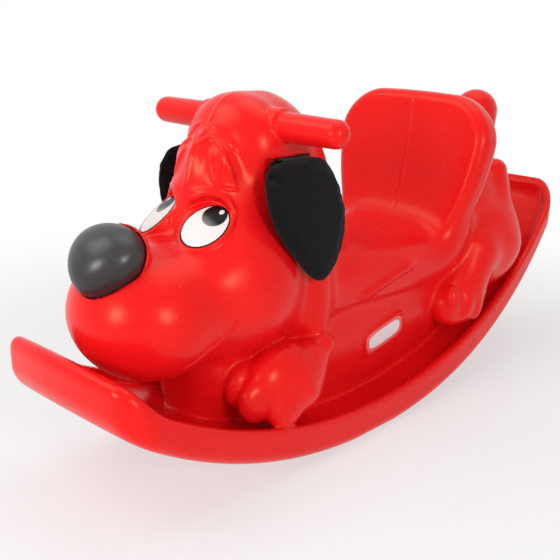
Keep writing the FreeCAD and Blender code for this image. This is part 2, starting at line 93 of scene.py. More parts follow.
def ellipsoid(p, centre, radii, turn=None):
    q = p - np.array(centre, float)
    if turn is not None:
        q = q @ turn
    r = np.array(radii, float)
    k0 = np.sqrt(((q / r) ** 2).sum(-1))
    k1 = np.sqrt(((q / (r * r)) ** 2).sum(-1)) + TINY
    return k0 * (k0 - 1) / k1


def ball(p, centre, radius):
    return np.linalg.norm(p - np.array(centre), axis=-1) - radius


def rod(p, a, b, ra, rb):
    """Round bar from a to b, its radius going from ra to rb."""
    a, b = np.array(a, float), np.array(b, float)
    t = np.clip(((p - a) @ (b - a)) / ((b - a) @ (b - a)), 0, 1)
    return np.linalg.norm(p - a - t[..., None] * (b - a), axis=-1) - (ra + (rb - ra) * t)


def path(p, points, radius):
    """Round cord along a line of points."""
    d = rod(p, points[0], points[1], radius, radius)
    for a, b in zip(points[1:], points[2:]):
        d = np.minimum(d, rod(p, a, b, radius, radius))
    return d


def ease(x, a, b):
    """Smooth step from 0 at a to 1 at b."""
    t = np.clip((x - a) / (b - a), 0, 1)
    return t * t * (3 - 2 * t)


def smooth(x, places, values, entries=400):
    """Smooth curve through the values, as a fine table."""
    xs, ys = np.array(places, float), np.array(values, float)
    slope = np.gradient(ys, xs)
    fine = np.linspace(xs[0], xs[-1], entries)
    i = np.clip(np.searchsorted(xs, fine) - 1, 0, len(xs) - 2)
    span = xs[i + 1] - xs[i]
    t = (fine - xs[i]) / span
    table = ((2 * t ** 3 - 3 * t ** 2 + 1) * ys[i] + (3 * t ** 2 - 2 * t ** 3) * ys[i + 1]
             + span * ((t ** 3 - 2 * t ** 2 + t) * slope[i] + (t ** 3 - t ** 2) * slope[i + 1]))
    return np.interp(x, fine, table)


# Tray, trunk and seat back

HALF_LENGTH = 442.5
ROCKER_RADIUS, ROCKER_MIDDLE = 654.0, -45.0
ROCKER_SINK = 1.2  # the arc dips this far under the floor and is cut flat there
TRAY_HALF_WIDTH = 122
TRAY_NARROWS_FROM, TRAY_NARROWING = 60, 5180  # behind this y, by its square over this
BOW_RADIUS = 620  # of the front end as seen from above
RIM_HEIGHT, PROW_RISE = 44, 17
FOOTWELL_FLOOR, TRAY_WALL, PROW_WALL = 28, 11, 22

TRUNK_TOP = ((-300, -120, -60, 0, 60, 127, 180, 260, 330, 400),
             (190, 235, 246, 243, 239, 240, 262, 292, 288, 250))
TRUNK_HALF_WIDTH = ((-330, -250, -150, -50, 60, 150, 250, 330, 400), (50, 66, 80, 88, 95, 98, 88, 68, 44))
TRUNK_SECTION = ((-0.1, 0.0, 0.15, 0.35, 0.50, 0.58, 0.62, 0.68, 0.75, 0.84, 0.94, 1.05),
                 (0.52, 0.54, 0.68, 0.83, 0.885, 0.875, 0.885, 0.955, 0.99, 1.0, 0.93, 0.8))
CHEST_FRONT, RUMP_END = -283.5, 395

SEAT_BACK_MIDDLE = np.array([0, 144, 300.0])
SEAT_BACK_LEAN = -12
SEAT_BACK_HALF_WIDTH = ((-120, -60, 0, 50, 120), (90, 104, 120, 126, 122))


def arc(y):
    """Height of the rocker's arc."""
    rise = np.sqrt(np.maximum(ROCKER_RADIUS ** 2 - (y - ROCKER_MIDDLE) ** 2, 1))
    return ROCKER_RADIUS - rise - ROCKER_SINK


def tray(q):
    """Rocker tray with its hollow, the rim rising to a prow."""
    x, y, z = axes(q)
    base = arc(y)
    radial = np.hypot(y - ROCKER_MIDDLE, z - ROCKER_RADIUS)
    slope = np.clip((ROCKER_RADIUS - z) / np.maximum(radial, 1), 0.5, 1)
    bow = np.hypot(x, np.minimum(y + HALF_LENGTH - BOW_RADIUS, 0)) - BOW_RADIUS
    side = x - (TRAY_HALF_WIDTH - np.maximum(y - TRAY_NARROWS_FROM, 0) ** 2 / TRAY_NARROWING)
    outline = rmax(rmax(bow, side, 33), y - HALF_LENGTH + 1, 42)
    prow = ease(-y, 384, 426)
    under = np.maximum(np.hypot(y - ROCKER_MIDDLE, z - ROCKER_RADIUS + ROCKER_SINK) - ROCKER_RADIUS, -z)
    wall = rmax(outline, under, 15)
    top = (z - base - RIM_HEIGHT - PROW_RISE * prow) * slope
    solid = rmax(wall, top, 4) * (1 - prow) + rmax(wall, top, 19) * prow
    hollow = rmax(outline + TRAY_WALL + PROW_WALL * prow, (base + FOOTWELL_FLOOR - z) * slope, 9)
    return smax(solid, -hollow, 3)


def trunk(q):
    """Chest, barrel and rump, narrower towards the tray."""
    x, y, z = axes(q)
    low = arc(y) + 20
    high = smooth(y, *TRUNK_TOP)
    section = smooth((z - low) / (high - low), *TRUNK_SECTION)
    d = smax((x - smooth(y, *TRUNK_HALF_WIDTH) * section) * 0.85, z - high, 60)
    d = rmax(rmax(d, CHEST_FRONT - y, 30), y - RUMP_END, 40)
    return smax(d, low - z, 4)


def seat_back(q):
    """Leaning seat back with a dished front and the seam down its middle."""
    x, y, z = axes((q - SEAT_BACK_MIDDLE) @ turn_x(SEAT_BACK_LEAN))
    side = x - smooth(z, *SEAT_BACK_HALF_WIDTH)
    outline = rmax(side, z - 116 + (x / 120) ** 2 * 5, 60)
    outline = rmax(outline, -z - 120, 20)
    dish = 5 * np.exp(-(x / 74) ** 4 - ((z - 20) / 84) ** 4)
    seam = 0.9 * np.exp(-(x / 1.7) ** 2)
    return rmax(rmax(outline, -y - 4 + dish + seam, 17), y - 44, 22)


# Head

EYE = np.array([40.0, -265.0, 300.0])
EYE_OUT = unit(0.307, -0.547, 0.778)
EYE_LONG = unit(0.122, 0.834, 0.538)
EYE_UP = np.cross(EYE_OUT, EYE_LONG)
# Half lengths and half heights of ovals in the eye's plane
EYE_SEAT, EYE_MOUNT, EYE_SIGHT = (32.2, 25.2), (35.0, 28.0), (34, 34)

NOSE = np.array([0, -368.8, 273.8])
NOSE_RADII = (45.4, 34.6, 41.0)
NOSE_NARROWING = 0.25 / 44
NOSE_LEAN = 0.17
NOSE_OUT = unit(0, -np.cos(np.radians(20)), np.sin(np.radians(20)))
NOSE_UP = np.cross(NOSE_OUT, X_AXIS)

# Ellipsoids: centre, radii and width of the blend with the forms before
HEAD_FORMS = (
    ((38, -215, 225), (70, 86, 80), 60),  # cheeks
    ((0, -101, 264), (74, 57, 106), 50),  # nape
    ((0, -320, 206), (92, 84, 76), 50),  # muzzle
    ((0, -177, 374), (69.5, 50, 61), 14),  # crown
    ((0, -215, 355), (27, 38, 42), 16),  # between the brows
    ((24, -222, 350), (22, 23, 34), 12))  # brow pads

# Raised folds of the left half of the face: radius of the cord, height over the head, line
FOLDS = (
    (3.0, 1.3, ((0, -259, 337), (0, -255, 349), (0, -252, 365), (0, -247, 378), (0, -239, 387),
                (0, -223, 396), (0, -211, 402), (0, -201, 412), (0, -187, 423))),  # keel of the forehead
    (2.6, 1.9, ((3, -242, 384), (10, -232, 390), (18, -228, 386), (30, -230, 381), (38, -232, 371),
                (42, -231, 359), (47, -228, 344))),  # arch of the brow
    (2.4, 1.7, ((2, -223, 396), (11, -211, 400), (20, -211, 396), (29, -214, 387),
                (39, -217, 377))),  # crest
    (2.2, 1.3, ((22, -239, 375), (28, -243, 362), (33, -245, 344))),  # short inner fold
    (2.4, 1.1, ((10, -260, 334), (24, -254, 337), (37, -244, 339), (50, -228, 337))),  # foot of the brow
    (3.6, 2.2, ((21, -262, 323), (28, -256, 330), (36, -248, 333), (44, -241, 331), (50, -237, 324),
                (56, -239, 316))))  # lid
SMILE_LINE = ((94, -269, 204), (92, -271, 198), (89, -274, 194), (86, -282, 187), (84, -292, 181),
              (82, -312, 172), (75, -326, 162))
WHISKER_DOTS = ((73, -327, 252), (84, -314, 239), (85, -342, 226))
LINE_REACH = 12  # fine lines are worked out this near the surface


def eye_oval(q, a, b):
    """Distance from an oval in the eye's plane."""
    u, v = (q - EYE) @ EYE_LONG, (q - EYE) @ EYE_UP
    k0, k1 = np.hypot(u / a, v / b), np.hypot(u / a ** 2, v / b ** 2) + TINY
    return k0 * (k0 - 1) / k1


def eye_height(q):
    """Height over the eye's plane."""
    return (q - EYE) @ EYE_OUT


def nose(p, grow):
    """Egg of the nose, narrower at its foot and leaning."""
    q = p - NOSE
    up = q @ NOSE_UP
    lower = np.clip(up, -46, 46)
    egg = np.stack([q[..., 0] / (1 + NOSE_NARROWING * lower), q @ NOSE_OUT + NOSE_LEAN * lower, up], -1)
    return ellipsoid(egg, (0, 0, 0), [radius + grow for radius in NOSE_RADII])


def bare_head(q):
    """Skull, cheeks, throat, muzzle, brows and eye mounts, before nose, eyes and fine lines."""
    skull = ellipsoid(q, (0, -148, 342), (75, 83, 91))
    skull = smin(skull, ellipsoid(q, (0, -205, 310), (56, 61, 62)), 36)
    forehead = (q - np.array([0, -262, 352.0])) @ np.array([0, -0.80, 0.60])
    skull = smax(skull, forehead, 12)
    off_middle = np.sqrt(q[..., 0] ** 2 + 6) - 2.4
    top = ease(q[..., 2], 384, 410)
    skull = skull + 2.2 - 3.4 * np.exp(-off_middle / 15) * top - 2.2 * (1 - top)
    for centre, radii, blend in HEAD_FORMS:
        skull = smin(skull, ellipsoid(q, centre, radii), blend)
    mount = rmax(eye_oval(q, *EYE_MOUNT), np.abs(eye_height(q) + 14) - 14.4, 3)
    skull = smin(skull, mount, 8)
    sight = rmax(eye_oval(q, *EYE_SIGHT), 0.9 - eye_height(q), 1)
    return smax(skull, -sight, 4)


def laid(form, line, radius, height):
    """Line rounded off and laid on a form: a cord along it stands proud by the height, less at its ends."""
    knots = np.array(line, float)
    for _ in range(2):
        quarters = 0.75 * knots[:-1] + 0.25 * knots[1:], 0.25 * knots[:-1] + 0.75 * knots[1:]
        knots = np.concatenate([knots[:1], np.stack(quarters, 1).reshape(-1, 3), knots[-1:]])
    reach = 0.2
    for _ in range(8):
        slope = np.stack([form(knots + step) - form(knots - step) for step in reach * np.eye(3)], -1)
        slope /= 2 * reach
        slope /= np.linalg.norm(slope, axis=-1, keepdims=True)
        knots = knots - form(knots)[:, None] * slope
    place = np.linspace(0, 1, len(knots))
    fade = np.clip(6 * np.minimum(place, 1 - place), 0.15, 1)
    return knots + (height * fade[:, None] - radius) * slope


RIDGES = tuple((laid(bare_head, line, radius, height), radius) for radius, height, line in FOLDS)
SMILE = laid(bare_head, SMILE_LINE, 0, 0)


def face_lines(d, q):
    """Folds, seats of the printed eyes, smile and whisker dots."""
    d = d.copy()
    brows = (q[..., 2] > 300) & (q[..., 1] < -170) & (np.abs(d) < LINE_REACH)
    for line, radius in RIDGES:
        d[brows] = smin(d[brows], path(q[brows], line, radius), 4)
    d = smax(d, -rmax(eye_oval(q, *EYE_SEAT), -eye_height(q), 1), 1.5)
    mouth = (q[..., 2] < 225) & (q[..., 1] < -245) & (np.abs(d) < LINE_REACH)
    d[mouth] = smax(d[mouth], -path(q[mouth], SMILE, 2.0), 3)
    for dot in WHISKER_DOTS:
        d = smin(d, ball(q, dot, 1.5), 1.5)
    return d


def head(q):
    """Head with the nose's collar and seat."""
    collar = rmax(nose(q, 1.0) - 2.4, (q - NOSE) @ NOSE_OUT + 15, 2)
    skull = smin(bare_head(q), collar, 4)
    return face_lines(smax(skull, -nose(q, 0.8), 1.5), q)


# Legs, tail, grips and fittings

FORE_TOES = ((66, -233, 110, 25), (87, -230, 97, 29), (105, -204, 86, 28))  # centre and half length
HIND_TOES = ((107, 127, 134), (114, 149, 126), (115, 172, 120))
KNUCKLES = ((94, -197, 147), (104, -182, 138), (101, -152, 137))
ELBOW_FOLD = ((78, -177, 153), (90, -181, 154), (99, -178, 150))
STREAK_RADIUS, STREAK_HEIGHT = 6, 4.2
STREAK_LINE = ((83, -44, 175), (88, -11, 187), (92, 25, 197), (94, 50, 203))
STREAK = laid(trunk, STREAK_LINE, STREAK_RADIUS, STREAK_HEIGHT)
GRIP_Y, GRIP_Z = -166, 401

LABEL = np.array([81.0, 12.0, 110.0])
LABEL_OUT = unit(0.9768, -0.0523, -0.2076)
LABEL_ALONG = unit(0.1120, 0.9513, 0.2872)
LABEL_UP = np.cross(LABEL_OUT, LABEL_ALONG)
LABEL_PAD = (24, 6.5, 10)  # half length and half height of the straight part, corner radius
EAR_SEAT_X, EAR_SEAT_Y, EAR_SEAT_Z = 62.5, -164, 355.75
PLUG_Y, PLUG_RADIUS, PLUG_DEPTH = 200.0, 9.3, 2.3
PLUG_AT = np.array([0, PLUG_Y, arc(PLUG_Y)])
PLUG_OUT = unit(0, PLUG_Y - ROCKER_MIDDLE, -np.sqrt(ROCKER_RADIUS ** 2 - (PLUG_Y - ROCKER_MIDDLE) ** 2))


def legs(d, q):
    """The body with its folded fore and hind legs."""
    paw = ellipsoid(q, (86, -184, 106), (34, 60, 48), turn_x(-12))
    for x, y, z, half_length in FORE_TOES:
        paw = smin(paw, ellipsoid(q, (x, y, z), (16, half_length, 28), turn_x(-25)), 8)
    fore = smin(rod(q, (90, -128, 136), (88, -172, 106), 17, 37), paw, 16)
    fore = smin(fore, ellipsoid(q, (93, -125, 138), (14, 14, 14)), 5)
    for knuckle in KNUCKLES:
        fore = smin(fore, ball(q, knuckle, 6.5), 7)
    fore = smin(fore, path(q, ELBOW_FOLD, 2.2), 5)
    shoulder = rod(q, (74, -126, 156), (70, -128, 222), 20, 26)
    d = smin(d, shoulder, 30)
    d = smin(d, fore, 9)
    thigh = ellipsoid(q, (84, 246, 188), (36, 62, 62))
    hind = smin(rod(q, (57, 300, 287), (78, 268, 190), 19, 40), thigh, 40)
    hind = smin(hind, rod(q, (86, 204, 186), (94, 168, 136), 39, 32), 26)
    foot = ellipsoid(q, (94, 164, 128), (30, 54, 38), turn_x(8))
    for toe in HIND_TOES:
        foot = smin(foot, ellipsoid(q, toe, (13, 11, 22)), 6)
    return smin(d, smin(hind, foot, 20), 14)


def grip(q):
    """Hand grip and its collar."""
    bar = rod(q, (40, GRIP_Y, GRIP_Z), (139, GRIP_Y, GRIP_Z), 17, 16)
    collar = rmax(np.hypot(q[..., 1] - GRIP_Y, q[..., 2] - GRIP_Z) - 20.5, np.abs(q[..., 0] - 40) - 24, 3)
    return smin(bar, collar, 3)


def label_axes(p):
    """Places along, across and over the label."""
    return [(p - LABEL) @ way for way in (LABEL_ALONG, LABEL_UP, LABEL_OUT)]


def fittings(d, p, q):
    """Label pad with its raised frame, ear seats and the vent plug's recess."""
    along, across, out = label_axes(p)
    half_length, half_height, corner = LABEL_PAD
    u, v = np.maximum(np.abs(along) - half_length, 0), np.maximum(np.abs(across) - half_height, 0)
    plate = np.hypot(u, v) - corner
    d = smin(d, rmax(plate - 3.6, np.abs(out + 15) - 15, 2), 7)
    raised_frame = np.hypot(plate - 2.2, out) - 1.7
    d = smin(d, raised_frame, 1.5)
    seat = np.maximum(EAR_SEAT_X - q[..., 0], np.abs(q[..., 1] - EAR_SEAT_Y) - 31.5)
    seat = np.maximum(seat, np.abs(q[..., 2] - EAR_SEAT_Z) - 12.25)
    d = smax(d, -seat, 1.5)
    depth = (p - PLUG_AT) @ PLUG_OUT
    off_axis = np.sqrt(np.maximum(((p - PLUG_AT) ** 2).sum(-1) - depth ** 2, 0))
    return smax(d, -np.maximum(off_axis - PLUG_RADIUS, -depth - PLUG_DEPTH), 0.8)


def left_half(p):
    """Points with the dog's right side folded onto its left."""
    return np.stack([np.abs(p[..., 0]), p[..., 1], p[..., 2]], -1)


def dog(p):
    """Distance field of the whole moulding."""
    q = left_half(p)
    d = smin(trunk(q), path(q, STREAK, STREAK_RADIUS), 8)
    d = smin(d, seat_back(q), 40)
    d = smin(d, head(q), 30)
    d = legs(d, q)
    tail = rod(q, (0, 316, 280), (0, 326, 369), 30, 33)
    d = smin(d, tail, 12)
    d = smin(d, grip(q), 3)
    d = smin(d, tray(q), 8)
    return fittings(d, p, q)


# From the field to a mesh

VOXEL = 2.6
FIELD_LOW, FIELD_HIGH = np.array([0, -455.0, -13.0]), np.array([170, 455, 447.0])
THREADS, BLOCK_POINTS = 4, 30000


def evaluate(points):
    """Distances for many points, in blocks on several threads."""
    order = np.argsort(points[:, 1], kind="stable")
    blocks = np.array_split(order, max(1, len(points) // BLOCK_POINTS))
    result = np.empty(len(points))

    def work(block):
        result[block] = dog(points[block])

    with ThreadPoolExecutor(THREADS) as pool:
        list(pool.map(work, blocks))
    return result


def settle(points, rounds=2, reach=0.2):
    """Points moved onto the surface along its slope."""
    corners = np.array([(1, -1, -1), (-1, -1, 1), (-1, 1, -1), (1, 1, 1)], float)
    for _ in range(rounds):
        values = [evaluate(points + corner * reach) for corner in corners]
        slope = sum(value[:, None] * corner for value, corner in zip(values, corners)) / (4 * reach)
        steep = np.maximum((slope ** 2).sum(-1), 0.2)
        shift = -(sum(values) / 4 / steep)[:, None] * slope
        length = np.linalg.norm(shift, axis=-1, keepdims=True)
        points = points + shift * np.minimum(1, VOXEL / np.maximum(length, TINY))
    return points


def cells(counts):
    """Index triples of all cells of a box."""
    return np.stack(np.meshgrid(*[np.arange(n) for n in counts], indexing="ij"), -1).reshape(-1, 3)


def surface():
    """Points and quads on the zero surface; the field is worked out in the blocks near it only."""
    block = 4
    coarse, reach = VOXEL * block, VOXEL * 3
    count = np.ceil((FIELD_HIGH - FIELD_LOW) / coarse).astype(int)
    index = cells(count)
    rough = evaluate(FIELD_LOW + (index + 0.5) * coarse - VOXEL / 2)
    near = np.abs(rough) < coarse * 1.45
    half = np.sign(rough).reshape(count) * reach
    for axis in range(3):
        half = np.repeat(half, block, axis)
    fine = (index[near][:, None, :] * block + cells([block] * 3)).reshape(-1, 3)
    half[tuple(fine.T)] = np.clip(evaluate(FIELD_LOW + fine * VOXEL), -reach, reach)
    full = np.concatenate([half[:0:-1], half])
    grid = openvdb.FloatGrid(reach)
    grid.copyFromArray(np.ascontiguousarray(full, dtype=np.float32))
    points, quads = grid.convertToQuads(0.0)
    points = np.array(points, float) - (len(half) - 1, 0, 0)
    return settle(points * VOXEL + (0, FIELD_LOW[1], FIELD_LOW[2])), quads


def shade_smooth(mesh):
    mesh.polygons.foreach_set("use_smooth", [True] * len(mesh.polygons))


def new_piece(name, data):
    piece = bpy.data.objects.new(name, data)
    bpy.context.scene.collection.objects.link(piece)
    return piece


def new_mesh(name, points, faces, smooth_faces=True):
    """Mesh object from points in millimetres."""
    mesh = bpy.data.meshes.new(name)
    mesh.from_pydata((np.asarray(points, float) * MM).tolist(), [], [tuple(int(i) for i in f) for f in faces])
    mesh.update()
    if smooth_faces:
        shade_smooth(mesh)
    return new_piece(name, mesh)


def fan(middle, first, around):
    """Triangles from a point to a ring, given the index of the ring's first point."""
    return [(middle, first + i, first + (i + 1) % around) for i in range(around)]


def band(first, second, around):
    """Quads between two rings, given the index of each one's first point."""
    return [(first + i, second + i, second + (i + 1) % around, first + (i + 1) % around)
            for i in range(around)]


def outward(piece):
    """Faces turned to face out."""
    bm = bmesh.new()
    bm.from_mesh(piece.data)
    bmesh.ops.recalc_face_normals(bm, faces=bm.faces)
    bm.to_mesh(piece.data)
    bm.free()


def apply(piece):
    """Modifiers turned into mesh."""
    graph = bpy.context.evaluated_depsgraph_get()
    mesh = bpy.data.meshes.new_from_object(piece.evaluated_get(graph))
    piece.modifiers.clear()
    piece.data = mesh


def modify(piece, kind, **facts):
    """One modifier with its settings, turned into mesh."""
    made = piece.modifiers.new(kind.lower(), kind)
    for key, value in facts.items():
        setattr(made, key, value)
    apply(piece)


def detail_zone(points):
    """Where the surface carries fine lines and needs smaller faces."""
    q = left_half(points)
    x, y, z = axes(q)
    near = (np.abs(eye_oval(q, 34.5, 27.5)) < 5) & (np.abs(eye_height(q)) < 14)
    for line in [line for line, radius in RIDGES] + [SMILE]:
        near |= path(q, line, 7) < 0
    for dot in WHISKER_DOTS:
        near |= ball(q, dot, 6) < 0
    near |= (x < 4) & (y > 60) & (y < 200) & (z > 230)  # seam of the seat back
    along, across, out = label_axes(points)
    near |= (np.abs(along) < 40) & (np.abs(across) < 24) & (np.abs(out) < 8)
    return near


def refine(piece):
    """Faces in the fine zones split, then set on the surface again."""
    bm = bmesh.new()
    bm.from_mesh(piece.data)
    near = detail_zone(np.array([v.co[:] for v in bm.verts]) / MM)
    bm.verts.ensure_lookup_table()
    edges = [e for e in bm.edges if near[e.verts[0].index] and near[e.verts[1].index]]
    bmesh.ops.subdivide_edges(bm, edges=edges, cuts=1, use_grid_fill=True)
    bm.verts.ensure_lookup_table()
    points = np.array([v.co[:] for v in bm.verts]) / MM
    near = detail_zone(points)
    for vertex, place in zip(np.array(bm.verts, dtype=object)[near], settle(points[near]) * MM):
        vertex.co = place
    bm.to_mesh(piece.data)
    bm.free()
    shade_smooth(piece.data)


# Materials

WAVE_LENGTH = 0.314  # in metres, of a wave texture's bands at scale 1


def nodes_of(name):
    material = bpy.data.materials.new(name)
    material.use_nodes = True
    tree = material.node_tree
    return material, tree, tree.nodes["Principled BSDF"]


def node(tree, kind, values=None, **facts):
    made = tree.nodes.new(kind)
    for key, value in facts.items():
        setattr(made, key, value)
    for key, value in (values or {}).items():
        made.inputs[key].default_value = value
    return made


def calc(tree, operation, *inputs, **facts):
    """Math node on other nodes' outputs and plain numbers."""
    made = node(tree, "ShaderNodeMath", operation=operation, **facts)
    for value, place in zip(inputs, made.inputs):
        if isinstance(value, float):
            place.default_value = value
        else:
            tree.links.new(value, place)
    return made.outputs[0]


def noise(tree, scale, detail, rough=0.5):
    place = node(tree, "ShaderNodeTexCoord")
    made = node(tree, "ShaderNodeTexNoise", {"Scale": scale, "Detail": detail, "Roughness": rough})
    tree.links.new(place.outputs["Object"], made.inputs["Vector"])
    return made.outputs["Fac"]


def ramp(tree, factor, stops):
    made = node(tree, "ShaderNodeValToRGB")
    ends = made.color_ramp.elements
    while len(ends) < len(stops):
        ends.new(0.5)
    for element, (place, colour) in zip(ends, stops):
        element.position = place
        element.color = (*colour, 1)
    tree.links.new(factor, made.inputs["Fac"])
    return made.outputs["Color"]


def ranged(tree, factor, low, high):
    made = node(tree, "ShaderNodeMapRange", {"To Min": low, "To Max": high})
    tree.links.new(factor, made.inputs["Value"])
    return made.outputs["Result"]


def bumps(tree, shader, layers):
    """Bump layers, each (height output, strength, distance)."""
    last = None
    for height, strength, distance in layers:
        made = node(tree, "ShaderNodeBump", {"Strength": strength, "Distance": distance})
        tree.links.new(height, made.inputs["Height"])
        if last:
            tree.links.new(last, made.inputs["Normal"])
        last = made.outputs["Normal"]
    tree.links.new(last, shader.inputs["Normal"])


def mix_shaders(tree, share, first, second, output):
    """Mix of two shaders led into the tree's output node."""
    mix = node(tree, "ShaderNodeMixShader")
    for source, place in zip((share, first, second), mix.inputs):
        tree.links.new(source, place)
    tree.links.new(mix.outputs[0], tree.nodes[output].inputs["Surface"])


def seen_share(tree):
    """1 for rays that come from the eye, straight, mirrored or through glass, and 0 for others."""
    rays = node(tree, "ShaderNodeLightPath")
    seen = rays.outputs["Is Camera Ray"]
    for name in ("Is Glossy Ray", "Is Transmission Ray"):
        seen = calc(tree, "ADD", seen, rays.outputs[name], use_clamp=True)
    return seen


def linear(red, green, blue):
    """Linear colour from sRGB values."""
    return tuple(c / 12.92 if c <= 0.04045 else ((c + 0.055) / 1.055) ** 2.4 for c in (red, green, blue))


def moulded(name, dark, light, rough, gloss=0.5, grain=900, ripple=0.0006, tint=(1.0, 1.0, 1.0)):
    """Moulded plastic: clouded colour, faint orange peel, slow ripples of the mould."""
    material, tree, shader = nodes_of(name)
    tree.links.new(ramp(tree, noise(tree, 9, 3), ((0.3, dark), (0.7, light))), shader.inputs["Base Color"])
    worn = ranged(tree, noise(tree, 34, 5, 0.6), rough - 0.05, rough + 0.07)
    tree.links.new(worn, shader.inputs["Roughness"])
    shader.inputs["Specular IOR Level"].default_value = gloss
    shader.inputs["Specular Tint"].default_value = (*tint, 1.0)
    bumps(tree, shader, ((noise(tree, 16, 1), 0.35, ripple), (noise(tree, grain, 2), 0.05, 0.00008)))
    return material


def woven(name, dark, light, period=0.0011):
    """Black cloth: two crossing threads, slight nap and lint."""
    material, tree, shader = nodes_of(name)
    place = node(tree, "ShaderNodeTexCoord")
    threads = []
    for axis in "YZ":
        wave = node(tree, "ShaderNodeTexWave",
                    {"Scale": WAVE_LENGTH / period, "Distortion": 0.6, "Detail": 1.0, "Detail Scale": 2.0},
                    wave_type="BANDS", bands_direction=axis, wave_profile="SIN")
        tree.links.new(place.outputs["Object"], wave.inputs["Vector"])
        threads.append(wave.outputs["Fac"])
    weave = calc(tree, "MULTIPLY", *threads)
    cloud = noise(tree, 60, 6, 0.7)
    both = calc(tree, "MULTIPLY_ADD", weave, 0.5, cloud)
    tree.links.new(ramp(tree, both, ((0.25, dark), (0.95, light))), shader.inputs["Base Color"])
    tree.links.new(ranged(tree, cloud, 0.82, 0.98), shader.inputs["Roughness"])
    shader.inputs["Sheen Weight"].default_value = 0.06
    shader.inputs["Sheen Roughness"].default_value = 0.5
    shader.inputs["Specular IOR Level"].default_value = 0.10
    bumps(tree, shader, ((noise(tree, 45, 3), 0.5, 0.0008), (weave, 0.5, 0.0003)))
    return material


def metal(name, colour, rough):
    """Brushed metal with darker clouds."""
    material, tree, shader = nodes_of(name)
    dark = tuple(c * 0.8 for c in colour)
    tree.links.new(ramp(tree, noise(tree, 300, 4), ((0.3, dark), (0.7, colour))), shader.inputs["Base Color"])
    shader.inputs["Metallic"].default_value = 1.0
    tree.links.new(ranged(tree, noise(tree, 500, 4), rough - 0.08, rough + 0.1), shader.inputs["Roughness"])
    bumps(tree, shader, ((noise(tree, 1500, 2), 0.15, 0.00005),))
    return material


def pupil_print(name):
    """Dark print with a painted grey shine at its lower end: a painted reflection."""
    material, tree, shader = nodes_of(name)
    place = node(tree, "ShaderNodeTexCoord")
    split = node(tree, "ShaderNodeSeparateXYZ")
    tree.links.new(place.outputs["Generated"], split.inputs[0])
    # Painted reflection: the print turns grey towards its lower end, standing in for shine.
    painted_shine = calc(tree, "MULTIPLY_ADD", noise(tree, 90, 2), 0.10, split.outputs["Y"])
    look = ramp(tree, painted_shine, ((0.05, linear(0.50, 0.50, 0.50)), (0.42, linear(0.09, 0.09, 0.09)),
                              (1.0, linear(0.05, 0.05, 0.05))))
    tree.links.new(look, shader.inputs["Base Color"])
    tree.links.new(ranged(tree, noise(tree, 60, 3), 0.22, 0.32), shader.inputs["Roughness"])
    shader.inputs["Specular IOR Level"].default_value = 0.15
    bumps(tree, shader, ((noise(tree, 700, 2), 0.08, 0.0001),))
    return material


RED = moulded("red_plastic", (0.80, 0.006, 0.009), (0.85, 0.009, 0.012), 0.27, 0.30, tint=(1.0, 0.60, 0.36))
NOSE_BLACK = moulded("nose_plastic", linear(0.15, 0.138, 0.13), linear(0.18, 0.167, 0.158), 0.33, 0.45,
                     grain=700)
WHITE = moulded("eye_print", linear(0.87, 0.845, 0.83), linear(0.895, 0.87, 0.855), 0.30, ripple=0.0001)
# Dark red ring round each eye white: a printed outline and painted shade of the recess's wall.
EYE_OUTLINE_AND_SHADE = moulded("eye_outline", linear(0.13, 0.03, 0.04), linear(0.17, 0.04, 0.05), 0.40, 0.12, ripple=0.0001)
LABEL_WHITE = moulded("label_face", linear(0.90, 0.87, 0.88), linear(0.94, 0.91, 0.92), 0.33, ripple=0.0001)
LABEL_EDGE = moulded("label_border", linear(0.90, 0.36, 0.38), linear(0.93, 0.42, 0.44), 0.36, ripple=0.0001)
PUPIL = pupil_print("pupil_print")
CLOTH = woven("ear_cloth", linear(0.045, 0.04, 0.048), linear(0.098, 0.09, 0.10))
THREAD = woven("ear_thread", linear(0.07, 0.07, 0.075), linear(0.13, 0.13, 0.135), 0.0006)
STRIP = moulded("strip_plastic", linear(0.07, 0.07, 0.07), linear(0.10, 0.10, 0.10), 0.5, grain=600,
                ripple=0.0001)
STEEL = metal("screw_steel", linear(0.74, 0.74, 0.75), 0.35)
PLUG = moulded("plug_plastic", linear(0.80, 0.07, 0.09), linear(0.85, 0.09, 0.11), 0.45, grain=600)


def paint(piece, *materials):
    piece.data.materials.clear()
    for material in materials:
        piece.data.materials.append(material)


def second_material(piece, test):
    """The piece's second material on the faces whose middles, in millimetres, pass the test."""
    middles = np.array([polygon.center[:] for polygon in piece.data.polygons]) / MM
    piece.data.polygons.foreach_set("material_index", test(middles).astype(int).tolist())


def finish_piece(piece, slot, body, *nodes):
    """Body of a new piece, and the nodes that it stands for, which are hidden; the slot is not used."""
    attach(piece, body)
    if nodes:
        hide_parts(*nodes)


# The red moulding

moulding = new_mesh("dog_moulding", *surface())
outward(moulding)
refine(moulding)
paint(moulding, RED)
finish_piece(moulding, "red_shell", "dog", "body_shell")


# The nose

NOSE_BACK = 0.55  # share of the half thickness at which the egg is cut flat


